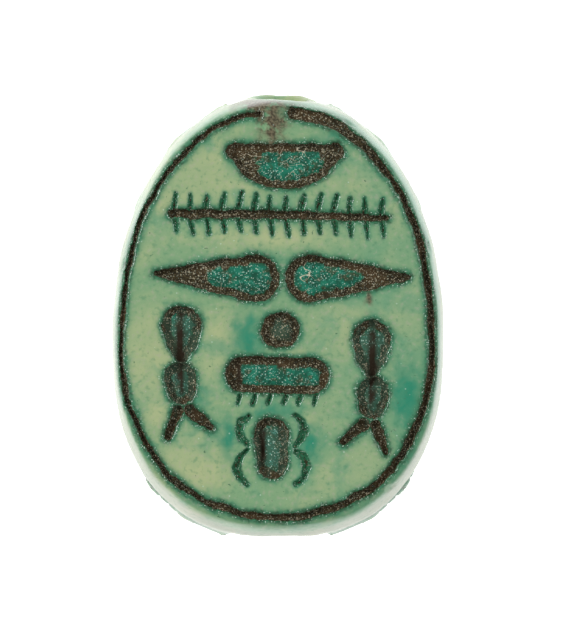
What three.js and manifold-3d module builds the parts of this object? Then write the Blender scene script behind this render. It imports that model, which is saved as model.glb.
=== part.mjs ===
// A scarab amulet of glazed steatite, carved in one piece: a beetle on a flat oval plate, drilled
// lengthways for a thread. It lies on its back, so the cut underside of the plate faces up.
// Millimetres, +Z up. The head end points to +Y, and the origin is on the ground under the
// middle of the amulet.

import * as THREE from "three";
import { mergeVertices } from "three/addons/utils/BufferGeometryUtils.js";
import Module from "manifold-3d";

const wasm = await Module();
wasm.setup();

// Driving sizes of the whole amulet.
const length = 17.0;
const width = 12.7;
const height = 7.2;
const plateThickness = 1.8;
const boreDiameter = 1.9;
const boreHeightAtHead = 2.15; // of its middle, over the underside
const boreHeightAtTail = 2.6;
const boreOffset = 0.2; // the drill ran a little to one side of the middle
const mouthFlare = 0.4; // the drill hole is worn wider by this all round at both ends
const mouthDepth = 1.1;
const strokeDepth = 0.3; // of every cut in the underside
const backLineDepth = 0.28; // of every line cut in the back
const backLineWidth = 0.34;
const legThickest = 1.44;
const legThinnest = 0.92;
const legProud = 0.17; // how far a leg's outer side stands past the plate, where it isn't tucked in
const legClearance = 0.12; // between a leg and the back's rim over it

// The plan is an egg: two half ovals that meet at the widest place, behind the middle.
const widestY = -0.055 * length;
const headReach = length / 2 - widestY;
const tailReach = length / 2 + widestY;
const headRoundness = 2.12;
const tailRoundness = 2.38;
const headOverhang = 0.12; // of the head's tip past the plate

// How far each zone steps in from the outline, at the sides, the head end and the tail end.
const undersideInset = { side: 0.4, head: 0.6, tail: 0.78 };
const lipInset = { side: 0.25, head: 0.25, tail: 0.25 };
const flankInset = { side: 0.62, head: 2.2, tail: 0.56 };
const rimInset = { side: 0.22, head: 0.19 * length, tail: 0.3 };

// The edge of the underside is worn round over this height, and the plate's back edge over the
// other. The flanks fill the height between the plate and the back's rim.
const undersideRounding = 0.26;
const lipRounding = 0.35;
const rimRounding = 0.12;
const rimHeight = plateThickness + 0.373 * (height - plateThickness);
const flankHeight = rimHeight - plateThickness;
const rimUnderside = rimHeight - 0.17 * flankHeight;
const crownFlat = 0.1; // the crown is worn flat this far under its full curve
const crownForward = 0.045 * length;

// A point of the plan at an angle round it, stepped in from the amulet's outline.
function planPoint(angle, inset) {
  const across = Math.cos(angle);
  const along = Math.sin(angle);
  const toHead = along > 0;
  const power = 2 / (toHead ? headRoundness : tailRoundness);
  const reach = toHead ? headReach - inset.head : tailReach - inset.tail;
  return new THREE.Vector2(
    (width / 2 - inset.side) * Math.sign(across) * Math.abs(across) ** power,
    widestY + reach * Math.sign(along) * Math.abs(along) ** power,
  );
}

// A closed solid through a stack of plan rings. A lathe of straight sides gives the faces, and
// each of its rings is then drawn out to the plan.
function ovalStack(rings) {
  const planSegments = 64;
  const profile = rings.map((ring, i) => new THREE.Vector2(1, i));
  profile.unshift(new THREE.Vector2(0, 0));
  profile.push(new THREE.Vector2(0, rings.length - 1));
  const geometry = new THREE.LatheGeometry(profile, planSegments);
  const place = geometry.getAttribute("position");
  for (let i = 0; i < place.count; i++) {
    const ring = rings[Math.round(place.getY(i))];
    const spread = Math.hypot(place.getX(i), place.getZ(i));
    const point = planPoint(Math.atan2(place.getX(i), place.getZ(i)), ring);
    const onAxis = spread < 0.5;
    place.setXYZ(i, onAxis ? 0 : point.x, onAxis ? widestY : point.y, ring.height);
  }
  return geometry;
}

// A manifold solid from a closed geometry.
function solid(geometry) {
  const bare = geometry.clone();
  bare.deleteAttribute("normal");
  bare.deleteAttribute("uv");
  const merged = mergeVertices(bare, 1e-5);
  return new wasm.Manifold(
    new wasm.Mesh({
      numProp: 3,
      vertProperties: merged.getAttribute("position").array,
      triVerts: new Uint32Array(merged.index.array),
    }),
  );
}

function join(solids) {
  return solids.reduce((whole, next) => whole.add(next));
}

function geometryOf(manifold) {
  const mesh = manifold.getMesh();
  return new THREE.BufferGeometry()
    .setAttribute("position", new THREE.BufferAttribute(mesh.vertProperties, 3))
    .setIndex(new THREE.BufferAttribute(mesh.triVerts, 1))
    .toNonIndexed();
}

// A ball stretched to three radii, squarer than an ellipsoid where its power is over 2.
function pebble(centre, radii, power, segments = 18) {
  const geometry = new THREE.SphereGeometry(1, segments, Math.round(segments * 0.67));
  const place = geometry.getAttribute("position");
  const point = new THREE.Vector3();
  for (let i = 0; i < place.count; i++) {
    point.fromBufferAttribute(place, i);
    const size =
      (Math.abs(point.x) ** power +
        Math.abs(point.y) ** power +
        Math.abs(point.z) ** power) **
      (1 / power);
    point.divideScalar(size).multiply(radii).add(centre);
    place.setXYZ(i, point.x, point.y, point.z);
  }
  return solid(geometry);
}

// The beetle is carved with its back up and its plate on the ground, and turned over at the end.

// The rings of the back over its rim. A sink draws the whole surface in by that much.
function crownStack(sink) {
  const ringCount = 7;
  const squareness = 2.25;
  const full = height + crownFlat - sink;
  const rings = [];
  const topAngle = Math.asin(Math.min(1, (height - sink - rimHeight) / (full - rimHeight)));
  for (let i = 0; i <= ringCount; i++) {
    const rise = Math.sin((topAngle * i) / ringCount);
    const share = Math.sqrt(1 - rise ** 2) ** (2 / squareness);
    const forward = crownForward * rise ** 2;
    const headSpan = headReach - rimInset.head - sink;
    const tailSpan = tailReach - rimInset.tail - sink;
    rings.push({
      height: rimHeight + (full - rimHeight) * rise,
      side: width / 2 - share * (width / 2 - rimInset.side - sink),
      head: headReach - share * headSpan - forward,
      tail: tailReach - share * tailSpan + forward,
    });
  }
  return rings;
}

function shareOf(inset, share) {
  return { side: share * inset.side, head: share * inset.head, tail: share * inset.tail };
}

// The plate, with a slanting wall and rounded edges, the flanks and the back in one stack.
function bodySolid() {
  const seam = 0.02; // the flanks start this far over the plate
  const plate = [
    { height: 0, ...shareOf(undersideInset, 1) },
    { height: 0.3 * undersideRounding, ...shareOf(undersideInset, 0.75) },
    { height: undersideRounding, ...shareOf(undersideInset, 0.53) },
    { height: plateThickness - lipRounding, ...shareOf(undersideInset, 0) },
    { height: plateThickness - 0.25 * lipRounding, ...shareOf(lipInset, 0.35) },
    { height: plateThickness, ...shareOf(lipInset, 1) },
  ].map((ring) => ({ ...ring, head: ring.head + headOverhang }));
  const flanks = [
    { height: plateThickness + seam, ...flankInset },
    { height: rimUnderside, ...flankInset },
    {
      height: rimHeight - 0.07 * flankHeight,
      side: rimInset.side + rimRounding,
      head: rimInset.head + rimRounding,
      tail: rimInset.tail + rimRounding,
    },
  ];
  return solid(ovalStack([...plate, ...flanks, ...crownStack(0)]));
}

// A leg is a chain of tapered round bars along the flank. Each of its joints has a plan angle, a
// radius, a lift, from 0 where it lies in the plate to 1 where it is right under the back's rim,
// and a tuck, which is how far it is drawn in from where it would stand fully proud.
function leg(side, joints) {
  const facets = 8;
  const places = joints.map(({ degrees, lift, tuck, radius }) => {
    const inset = radius - legProud + tuck;
    const point = planPoint(THREE.MathUtils.degToRad(degrees), {
      side: inset,
      head: inset + headOverhang,
      tail: inset,
    });
    const lowest = plateThickness + 0.5 * radius;
    const highest = rimUnderside - legClearance - radius;
    return new THREE.Vector3(side * point.x, point.y, lowest + lift * (highest - lowest));
  });
  const knobs = places.map((place, i) =>
    solid(
      new THREE.SphereGeometry(joints[i].radius, facets, 5).translate(...place.toArray()),
    ),
  );
  const bars = places.slice(1).map((place, i) => {
    const along = place.clone().sub(places[i]);
    const bar = new THREE.CylinderGeometry(
      joints[i + 1].radius,
      joints[i].radius,
      along.length(),
      facets,
    );
    const turn = new THREE.Quaternion().setFromUnitVectors(
      new THREE.Vector3(0, 1, 0),
      along.clone().normalize(),
    );
    bar.applyQuaternion(turn);
    bar.translate(...places[i].clone().add(place).divideScalar(2).toArray());
    return solid(bar);
  });
  return join([...knobs, ...bars]);
}

// Each side has a front leg along the head, and a middle and a hind leg that slope back.
function legsSolid() {
  const thick = legThickest / 2;
  const thin = legThinnest / 2;
  const frontLeg = [
    { degrees: 14, lift: 0.95, tuck: 0.2, radius: thick },
    { degrees: 34, lift: 0.1, tuck: 0.12, radius: 0.9 * thick },
    { degrees: 54, lift: 0, tuck: 0.05, radius: 1.2 * thin },
    { degrees: 72, lift: 0, tuck: 0.05, radius: thin },
  ];
  const middleLeg = [
    { degrees: 4, lift: 0.95, tuck: 0.2, radius: 0.8 * thick },
    { degrees: -14, lift: 0.45, tuck: 0.2, radius: 1.15 * thin },
    { degrees: -32, lift: 0, tuck: 0.15, radius: thin },
  ];
  const hindLeg = [
    { degrees: -22, lift: 0.95, tuck: 0.18, radius: 0.8 * thick },
    { degrees: -44, lift: 0.65, tuck: 0.02, radius: 0.8 * thick },
    { degrees: -60, lift: 0.25, tuck: 0, radius: 1.3 * thin },
    { degrees: -74, lift: 0, tuck: 0.04, radius: thin },
  ];
  return join(
    [1, -1].flatMap((side) => [frontLeg, middleLeg, hindLeg].map((at) => leg(side, at))),
  );
}

// The head has a shovel-shaped front plate with notches along its upper edge, and an eye at
// either side.
function headSolid() {
  const front = length / 2;
  const shovelReach = 0.14 * length;
  const shovelHalf = 0.185 * width;
  const browY = front - shovelReach;
  const shovelMiddle = 0.49 * height;
  const chinSetBack = 0.12; // under the shovel
  const brow = pebble(
    new THREE.Vector3(0, browY - 0.045 * length, 0.36 * height),
    new THREE.Vector3(0.24 * width, 0.125 * length, 0.33 * height),
    2.4,
  );
  const shovel = pebble(
    new THREE.Vector3(0, browY, shovelMiddle),
    new THREE.Vector3(shovelHalf, shovelReach, 0.13 * height),
    2.6,
  );
  const chin = pebble(
    new THREE.Vector3(0, browY, 0.32 * height),
    new THREE.Vector3(shovelHalf, shovelReach - chinSetBack, 0.2 * height),
    3,
  );
  const eyes = [1, -1].map((side) =>
    pebble(
      new THREE.Vector3(side * 0.215 * width, browY - 0.02 * length, 0.48 * height),
      new THREE.Vector3(0.055 * width, 0.05 * length, 0.1 * height),
      2,
      12,
    ),
  );
  const notchCount = 5;
  const notchHalf = 0.2;
  const notches = Array.from({ length: notchCount }, (_, i) => {
    const spread = (i / (notchCount - 1) - 0.5) * 1.5;
    const notch = new THREE.CylinderGeometry(notchHalf, notchHalf, height, 4);
    notch.rotateX(Math.PI / 2);
    const x = shovelHalf * Math.sin(spread) * 1.02;
    const y = browY + shovelReach * Math.cos(spread) ** 0.6;
    return solid(notch.translate(x, y, shovelMiddle + height / 2));
  });
  const inPlate = 0.5 * plateThickness;
  return join([brow, shovel, chin, ...eyes])
    .subtract(join(notches))
    .trimByPlane([0, 0, 1], inPlate);
}

// A strip of the plan through points, drawn up through the whole height.
function strip(points, stripWidth) {
  const half = stripWidth / 2;
  const sides = points.map((point, i) => {
    const before = points[Math.max(i - 1, 0)];
    const after = points[Math.min(i + 1, points.length - 1)];
    const along = after.clone().sub(before).normalize();
    return new THREE.Vector2(-along.y, along.x).multiplyScalar(half);
  });
  const there = points.map((point, i) => point.clone().sub(sides[i]));
  const back = points.map((point, i) => point.clone().add(sides[i])).reverse();
  const outline = new THREE.Shape([...there, ...back]);
  return solid(
    new THREE.ExtrudeGeometry(outline, { depth: 2 * height, bevelEnabled: false }),
  );
}

// The back's lines: one between wing cases and thorax, one between the wing cases, a short
// notch at each shoulder and one across the thorax's front.
function backLines() {
  const seamY = 0.09 * length;
  const seamBow = 0.05 * length;
  const seamPoints = Array.from({ length: 9 }, (_, i) => {
    const share = i / 4 - 1;
    return new THREE.Vector2((share * width) / 2, seamY + seamBow * (share ** 2 - 0.4));
  });
  const suture = [
    new THREE.Vector2(0, seamY - 0.02 * length),
    new THREE.Vector2(0, -length / 2),
  ];
  const shoulders = [1, -1].map((side) => {
    const corner = new THREE.Vector2(side * 0.29 * width, seamY - 0.004 * length);
    const tip = new THREE.Vector2(side * 0.25 * width, seamY - 0.085 * length);
    return strip([corner, tip], backLineWidth * 1.5);
  });
  const cuts = join([
    strip(seamPoints, backLineWidth),
    strip(suture, backLineWidth),
    ...shoulders,
  ]);
  const floor = [
    {
      height: rimHeight - 0.3 * flankHeight,
      side: rimInset.side + 5 * backLineDepth,
      head: rimInset.head + 2 * backLineDepth,
      tail: rimInset.tail + 5 * backLineDepth,
    },
    ...crownStack(backLineDepth),
  ];
  const overRim = solid(
    new THREE.BoxGeometry(2 * width, 2 * length, 2 * height).translate(
      0,
      0,
      rimHeight - 0.05 * flankHeight + height,
    ),
  );
  return cuts.intersect(overRim).subtract(solid(ovalStack(floor)));
}

// The drill hole for the thread, from end to end, with a worn mouth at each.
function boreSolid() {
  const barrel = new THREE.CylinderGeometry(
    boreDiameter / 2,
    boreDiameter / 2,
    2 * length,
    20,
  );
  const mouths = [0, Math.PI].map((turn) => {
    const past = 0.5 * mouthDepth; // the cone runs on past the end of the amulet
    const mouth = new THREE.CylinderGeometry(
      boreDiameter / 2 + mouthFlare * (1 + past / mouthDepth),
      boreDiameter / 2,
      mouthDepth + past,
      20,
    );
    mouth.translate(0, length / 2 - mouthDepth + (mouthDepth + past) / 2, 0);
    return solid(mouth.rotateZ(turn));
  });
  const drillRise = Math.atan((boreHeightAtTail - boreHeightAtHead) / length);
  const middleHeight = (boreHeightAtHead + boreHeightAtTail) / 2;
  return join([solid(barrel), ...mouths])
    .rotate([-THREE.MathUtils.radToDeg(drillRise), 0, 0])
    .translate([-boreOffset, 0, middleHeight]);
}

// The underside's cuts, as they lie with the underside up. They are laid out on a grid over the
// plan, 127 squares wide and 170 long, with its zero in the middle.
const gridAcross = width / 127;
const gridAlong = length / 170;

function at(x, y) {
  return new THREE.Vector2(x * gridAcross, y * gridAlong);
}

// A gouge is one pull of the graver: a round-ended stroke with its own half width at each end,
// in squares of the grid.
function gouge(start, end, startHalf, endHalf = startHalf, segments = 3) {
  const along = end.clone().sub(start);
  const startRadius = startHalf * gridAlong;
  const endRadius = endHalf * gridAlong;
  const turn = Math.acos((startRadius - endRadius) / along.length());
  const heading = along.angle();
  const round = 2 * Math.PI;
  const outline = new THREE.Shape();
  outline.absarc(end.x, end.y, endRadius, heading - turn, heading + turn);
  outline.absarc(start.x, start.y, startRadius, heading + turn, heading + round - turn);
  const cut = new THREE.ExtrudeGeometry(outline, {
    depth: 2 * strokeDepth,
    bevelEnabled: false,
    curveSegments: segments,
  });
  return solid(cut.translate(0, 0, height - strokeDepth));
}

// A chain of gouges through points, with one half width for each point.
function gougeChain(points, halves, segments) {
  const pulls = points
    .slice(1)
    .map((point, i) => gouge(points[i], point, halves[i], halves[i + 1], segments));
  return join(pulls);
}

// The line round the edge. It is open at the head end, where the face is worn.
function borderLine() {
  const half = 1.5 * gridAlong;
  const middle = shareOf({ side: 5, head: 8.7, tail: 8.7 }, gridAlong);
  const steps = 60;
  const from = THREE.MathUtils.degToRad(94);
  const to = THREE.MathUtils.degToRad(447);
  const edge = (grow) =>
    Array.from({ length: steps + 1 }, (_, i) =>
      planPoint(from + ((to - from) * i) / steps, {
        side: middle.side - grow,
        head: middle.head - grow,
        tail: middle.tail - grow,
      }),
    );
  const outline = new THREE.Shape([...edge(half), ...edge(-half).reverse()]);
  const cut = new THREE.ExtrudeGeometry(outline, {
    depth: 2 * strokeDepth,
    bevelEnabled: false,
  });
  return solid(cut.translate(0, 0, height - strokeDepth));
}

// A thick bowed stroke under the head end, tapered to both sides.
function bowedStroke() {
  const points = [at(-16, 62), at(-8, 58), at(2.5, 56), at(13, 58), at(21.4, 62)];
  return gougeChain(points, [3.2, 6.2, 7.8, 6.2, 3.2], 2);
}

// A long thin stroke between two rows of slanting ticks.
function featheredStroke() {
  const left = at(-40, 38.6);
  const right = at(41, 36.8);
  const tickCount = 14;
  const spine = gouge(left, right, 1.3);
  const ticks = Array.from({ length: tickCount }, (_, i) => {
    const root = left.clone().lerp(right, (i + 0.15) / (tickCount - 0.7));
    return [1, -1].map((side) =>
      gouge(root.clone().add(at(0, side * 3)), root.clone().add(at(1.6, side * 7.8)), 1, 0.6, 1),
    );
  });
  return join([spine, ...ticks.flat()]);
}

// Two long wedges, thick end to thick end, with a ridge left standing between them.
function wedgeStrokes() {
  return join([
    gouge(at(-7.6, 14.2), at(-44.5, 15.8), 8.4, 1.4),
    gouge(at(11.2, 14.2), at(48, 14.5), 8.4, 1.4),
  ]);
}

// Down the middle: a short oval pit, a broad bar with ticks under it, and an upright oval
// between two pairs of curved strokes.
function middleStrokes() {
  const pit = gouge(at(-0.6, -5.8), at(3, -5.5), 6.2);
  const bar = gouge(at(-12, -22), at(12.5, -22.8), 5.8);
  const tickCount = 6;
  const ticks = Array.from({ length: tickCount }, (_, i) => {
    const x = -13.5 + (28 * i) / (tickCount - 1);
    return gouge(at(x, -29.8), at(x - 1, -33), 0.8, 0.7, 1);
  });
  const oval = gouge(at(-2.5, -45.5), at(-2.2, -56), 6, 5.2);
  const curves = [1, -1].flatMap((side) =>
    [
      { y: -43.5, radius: 8.5 },
      { y: -57, radius: 9.5 },
    ].map(({ y, radius }) => {
      const points = Array.from({ length: 5 }, (_, i) => {
        const turn = (i / 4 - 0.5) * 1.5;
        const x = -2.4 + side * (2.8 + radius * Math.cos(turn));
        return at(x, y - 0.8 * radius * Math.sin(turn));
      });
      return gougeChain(points, [0.8, 1.2, 1.3, 1.2, 0.8], 1);
    }),
  );
  return join([pit, bar, ...ticks, oval, ...curves]);
}

// A column at each side, from its top down: a drop, an oval and two slanting strokes.
function columnStrokes(side, top) {
  const place = (x, y) => at(side * x, y).add(top);
  return join([
    gouge(place(0, 0), place(0, -11.5), 7, 2.4),
    gouge(place(0.5, -20.5), place(-0.2, -24), 5.6, 5),
    gouge(place(1.2, -32.5), place(5, -41.5), 1.8, 1.6, 2),
    gouge(place(-3, -32.2), place(-10.5, -38), 2, 1.8, 2),
  ]);
}

const beetle = join([bodySolid(), headSolid(), legsSolid()]);
const carved = beetle.subtract(join([backLines(), boreSolid()]));
const lyingOnItsBack = carved.rotate([0, 180, 0]).translate([0, 0, height]);
const cuts = join([
  borderLine(),
  bowedStroke(),
  featheredStroke(),
  wedgeStrokes(),
  middleStrokes(),
  columnStrokes(-1, at(-36.5, -4)),
  columnStrokes(1, at(35.5, -9.5)),
]);

const glazedSteatite = new THREE.MeshStandardMaterial({
  color: 0x86b286,
  roughness: 0.35,
  metalness: 0,
});
const sliver = 0.006; // edges shorter than this are closed up
const finished = lyingOnItsBack.subtract(cuts).simplify(sliver);
const scarab = new THREE.Mesh(geometryOf(finished), glazedSteatite);
scarab.name = "scarab";

const amulet = new THREE.Group();
amulet.add(scarab);
export default amulet;
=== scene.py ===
import math

import bmesh
import bpy
import numpy as np
from mathutils import Matrix, Vector


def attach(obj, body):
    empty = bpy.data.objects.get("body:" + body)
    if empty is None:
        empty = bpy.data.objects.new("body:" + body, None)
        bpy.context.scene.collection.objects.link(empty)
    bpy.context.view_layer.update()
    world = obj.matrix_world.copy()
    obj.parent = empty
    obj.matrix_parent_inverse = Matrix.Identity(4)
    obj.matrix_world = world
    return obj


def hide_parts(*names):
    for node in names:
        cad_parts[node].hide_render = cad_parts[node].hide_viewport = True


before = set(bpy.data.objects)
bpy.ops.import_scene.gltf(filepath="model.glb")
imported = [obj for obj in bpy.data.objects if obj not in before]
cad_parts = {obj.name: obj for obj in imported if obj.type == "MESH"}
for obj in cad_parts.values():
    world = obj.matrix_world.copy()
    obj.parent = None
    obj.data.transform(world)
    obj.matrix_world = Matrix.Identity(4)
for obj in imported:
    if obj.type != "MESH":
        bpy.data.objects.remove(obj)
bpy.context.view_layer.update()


# The scarab's body is carved from one lump of soft stone: an egg-shaped plate with a slanting
# wall, flanks that step in behind the plate, and the beetle's domed back. It is shaped here in
# millimetres with its back up, as a stack of plan rings, and turned over once it is whole.
LENGTH = 17.0
WIDTH = 12.7
HEIGHT = 7.2
PLATE_THICKNESS = 1.8
WIDEST_Y = -0.055 * LENGTH
HEAD_REACH = LENGTH / 2 - WIDEST_Y
TAIL_REACH = LENGTH / 2 + WIDEST_Y
HEAD_ROUNDNESS = 2.12
TAIL_ROUNDNESS = 2.38
RIM_SHARE = 0.373
RIM_HEIGHT = PLATE_THICKNESS + RIM_SHARE * (HEIGHT - PLATE_THICKNESS)
FLANK_HEIGHT = RIM_HEIGHT - PLATE_THICKNESS
LIP_SHARE = 0.17
RIM_UNDERSIDE = RIM_HEIGHT - LIP_SHARE * FLANK_HEIGHT
RIM_INSET = (0.22, 0.19 * LENGTH, 0.3)
FLANK_INSET = (0.62, 2.2, 0.56)
CROWN_FLAT = 0.1
CROWN_FORWARD = 0.045 * LENGTH
CROWN_ROUNDNESS = 2.25
CROWN_RINGS = 18
RING_POINTS = 144


def plan_point(angle, inset, roundness=(HEAD_ROUNDNESS, TAIL_ROUNDNESS)):
    """A point of the egg at an angle, stepped in by its inset at the sides, head and tail."""
    side, head, tail = inset
    across = math.cos(angle)
    along = math.sin(angle)
    power = 2 / (roundness[0] if along > 0 else roundness[1])
    reach = HEAD_REACH - head if along > 0 else TAIL_REACH - tail
    x = (WIDTH / 2 - side) * math.copysign(abs(across) ** power, across)
    return x, WIDEST_Y + reach * math.copysign(abs(along) ** power, along)


def crown_rings(count):
    """The rings of the domed back, from its rim up to the worn flat of its crown."""
    side_in, head_in, tail_in = RIM_INSET
    full = HEIGHT + CROWN_FLAT
    top = math.asin((HEIGHT - RIM_HEIGHT) / (full - RIM_HEIGHT))
    rings = []
    for i in range(count + 1):
        rise = math.sin(top * i / count)
        share = math.sqrt(1 - rise**2) ** (2 / CROWN_ROUNDNESS)
        forward = CROWN_FORWARD * rise**2
        inset = (
            WIDTH / 2 - share * (WIDTH / 2 - side_in),
            HEAD_REACH - share * (HEAD_REACH - head_in) - forward,
            TAIL_REACH - share * (TAIL_REACH - tail_in) + forward,
        )
        rings.append((RIM_HEIGHT + (full - RIM_HEIGHT) * rise, inset))
    return rings


body_rings = [
    (0.0, (0.42, 0.74, 0.8)),
    (0.07, (0.31, 0.59, 0.62)),
    (0.17, (0.24, 0.49, 0.5)),
    (0.3, (0.2, 0.42, 0.41)),
    (PLATE_THICKNESS - 0.35, (0.0, 0.12, 0.0)),
    (PLATE_THICKNESS - 0.2, (0.02, 0.13, 0.02)),
    (PLATE_THICKNESS - 0.08, (0.09, 0.2, 0.09)),
    (PLATE_THICKNESS, (0.25, 0.37, 0.25)),
    (PLATE_THICKNESS + 0.02, FLANK_INSET),
    (RIM_UNDERSIDE, FLANK_INSET),
    (RIM_HEIGHT - 0.07 * FLANK_HEIGHT, (0.34, 0.19 * LENGTH + 0.12, 0.42)),
    *crown_rings(CROWN_RINGS),
]

carving = bmesh.new()
lower_loop = None
for height, inset in body_rings:
    ring = bmesh.ops.create_circle(carving, segments=RING_POINTS, radius=1.0)["verts"]
    loop = {edge for vert in ring for edge in vert.link_edges}
    for vert in ring:
        vert.co = (*plan_point(math.atan2(vert.co.y, vert.co.x), inset), height)
    if lower_loop:
        bmesh.ops.bridge_loops(carving, edges=list(lower_loop | loop))
    lower_loop = loop
bmesh.ops.holes_fill(carving, edges=[edge for edge in carving.edges if edge.is_boundary], sides=0)
bmesh.ops.recalc_face_normals(carving, faces=carving.faces)


# The legs stand out in relief from the flanks: at each side a front leg along the head, and a
# middle and a hind leg that slope back to the plate. Each is a chain of tapered bars and knobs,
# whose joints have a plan angle, a lift, a tuck inwards and a radius.
LEG_THICK = 0.72
LEG_THIN = 0.46
LEG_PROUD = 0.17
LEG_CLEARANCE = 0.12
LEG_SIDES = 20
KNOB_RINGS = 12
HEAD_OVERHANG = 0.12
LEGS = {
    "front": [
        (14, 0.95, 0.2, LEG_THICK),
        (34, 0.1, 0.12, 0.9 * LEG_THICK),
        (54, 0, 0.05, 1.2 * LEG_THIN),
        (72, 0, 0.05, LEG_THIN),
    ],
    "middle": [
        (4, 0.95, 0.2, 0.8 * LEG_THICK),
        (-14, 0.45, 0.2, 1.15 * LEG_THIN),
        (-32, 0, 0.15, LEG_THIN),
    ],
    "hind": [
        (-22, 0.95, 0.18, 0.8 * LEG_THICK),
        (-44, 0.65, 0.02, 0.8 * LEG_THICK),
        (-60, 0.25, 0, 1.3 * LEG_THIN),
        (-74, 0, 0.04, LEG_THIN),
    ],
}


def leg_joint(side, degrees, lift, tuck, radius):
    """Where a leg's joint is, with its lift from 0, in the plate, to 1, under the back's rim."""
    inset = radius - LEG_PROUD + tuck
    x, y = plan_point(math.radians(degrees), (inset, inset + HEAD_OVERHANG, inset))
    lowest = PLATE_THICKNESS + 0.5 * radius
    highest = RIM_UNDERSIDE - LEG_CLEARANCE - radius
    return Vector((side * x, y, lowest + lift * (highest - lowest)))


leg_bars = []
for side in (1, -1):
    for joints in LEGS.values():
        knobs = [(leg_joint(side, *joint), joint[-1]) for joint in joints]
        for place, radius in knobs:
            bmesh.ops.create_uvsphere(
                carving,
                u_segments=LEG_SIDES,
                v_segments=KNOB_RINGS,
                radius=radius,
                matrix=Matrix.Translation(place),
            )
        for (near, near_radius), (far, far_radius) in zip(knobs, knobs[1:]):
            turn = (far - near).to_track_quat("Z", "Y").to_matrix().to_4x4()
            bmesh.ops.create_cone(
                carving,
                cap_ends=True,
                segments=LEG_SIDES,
                radius1=near_radius,
                radius2=far_radius,
                depth=(far - near).length,
                matrix=Matrix.Translation((near + far) / 2) @ turn,
            )
            leg_bars.append((near, far, near_radius, far_radius))


# The head is a swelling brow with an eye at either side and a flat shovel in front of it, whose
# upper edge is notched. A chin carries the shovel on the plate. Each has a centre, three radii
# and how square it is.
SHOVEL_REACH = 0.14 * LENGTH
SHOVEL_HALF = 0.185 * WIDTH
BROW_Y = LENGTH / 2 - SHOVEL_REACH
EYE_X = 0.215 * WIDTH
EYE_Y = BROW_Y - 0.02 * LENGTH
EYE_RADII = (0.055 * WIDTH, 0.05 * LENGTH, 0.1 * HEIGHT)
BROW_RADII = (0.24 * WIDTH, 0.125 * LENGTH, 0.33 * HEIGHT)
SHOVEL_RADII = (SHOVEL_HALF, SHOVEL_REACH, 0.13 * HEIGHT)
CHIN_RADII = (SHOVEL_HALF, SHOVEL_REACH - 0.12, 0.2 * HEIGHT)
BROW = ((0, BROW_Y - 0.045 * LENGTH, 0.36 * HEIGHT), BROW_RADII, 2.4)
SHOVEL = ((0, BROW_Y, 0.49 * HEIGHT), SHOVEL_RADII, 2.6)
CHIN = ((0, BROW_Y, 0.32 * HEIGHT), CHIN_RADII, 3.0)
EYES = [((side * EYE_X, EYE_Y, 0.48 * HEIGHT), EYE_RADII, 2.0) for side in (1, -1)]
NOTCH_TURNS = [0.36 * i for i in range(-2, 3)]
NOTCH_HALF = 0.14
NOTCH_SHARE = 0.2
INSIDE_PLATE = 0.5 * PLATE_THICKNESS
PEBBLE_SIDES = 96
PEBBLE_RINGS = 40

for head_part in (BROW, SHOVEL, CHIN, *EYES):
    centre, radii, squareness = head_part
    pebble = bmesh.ops.create_uvsphere(
        carving, u_segments=PEBBLE_SIDES, v_segments=PEBBLE_RINGS, radius=1.0
    )
    for vert in pebble["verts"]:
        size = sum(abs(part) ** squareness for part in vert.co) ** (1 / squareness)
        place = Vector(radii) * (vert.co / size)
        if head_part is SHOVEL and vert.co.z > 0.1:
            turn = math.atan2(vert.co.x, vert.co.y)
            off_notch = min(abs(turn - notch) for notch in NOTCH_TURNS)
            place *= 1 - NOTCH_SHARE * max(0.0, 1 - off_notch / NOTCH_HALF)
        vert.co = place + Vector(centre)
        vert.co.z = max(vert.co.z, INSIDE_PLATE)


# The drill hole runs from end to end for a thread. The drill ran a little to one side and rose
# to the tail, and the thread has worn both mouths wider.
BORE_RADIUS = 0.95
MOUTH_RADIUS = 1.35
MOUTH_DEPTH = 1.1
BORE_HEIGHT_AT_HEAD = 2.15
BORE_HEIGHT_AT_TAIL = 2.6
BORE_PLACE = Vector((-0.2, 0, (BORE_HEIGHT_AT_HEAD + BORE_HEIGHT_AT_TAIL) / 2))
BORE_TILT = math.atan((BORE_HEIGHT_AT_TAIL - BORE_HEIGHT_AT_HEAD) / LENGTH)
BORE_SIDES = 56
WELD_DISTANCE = 0.0001
bore_profile = [
    (0.0, -LENGTH),
    (MOUTH_RADIUS + 0.25, -LENGTH),
    (MOUTH_RADIUS + 0.2, -LENGTH / 2 - 0.6),
    (MOUTH_RADIUS, -LENGTH / 2),
    (BORE_RADIUS + 0.12, -LENGTH / 2 + 0.6 * MOUTH_DEPTH),
    (BORE_RADIUS, -LENGTH / 2 + 1.2 * MOUTH_DEPTH),
]
bore_profile += [(radius, -y) for radius, y in reversed(bore_profile)]

drill = bmesh.new()
profile = [drill.verts.new(BORE_PLACE + Vector((radius, y, 0))) for radius, y in bore_profile]
outline = [drill.edges.new(pair) for pair in zip(profile, profile[1:])]
bmesh.ops.spin(
    drill,
    geom=profile + outline,
    cent=BORE_PLACE,
    axis=(0, 1, 0),
    angle=math.tau,
    steps=BORE_SIDES,
    use_merge=True,
)
bmesh.ops.rotate(drill, verts=drill.verts, cent=BORE_PLACE, matrix=Matrix.Rotation(-BORE_TILT, 3, "X"))
bmesh.ops.remove_doubles(drill, verts=drill.verts, dist=WELD_DISTANCE)
bmesh.ops.recalc_face_normals(drill, faces=drill.faces)


# The shells are grown into one skin, drilled, and skinned again, which rounds the meeting edges
# as wear and glaze do. The stone is then turned over, and its plate's edge, the lip under its
# back's rim and the rim itself have these heights from then on.
SKIN_STEP = 0.155
PLATE_Z = HEIGHT - PLATE_THICKNESS
LIP_Z = HEIGHT - RIM_UNDERSIDE
RIM_Z = HEIGHT - RIM_HEIGHT


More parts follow.
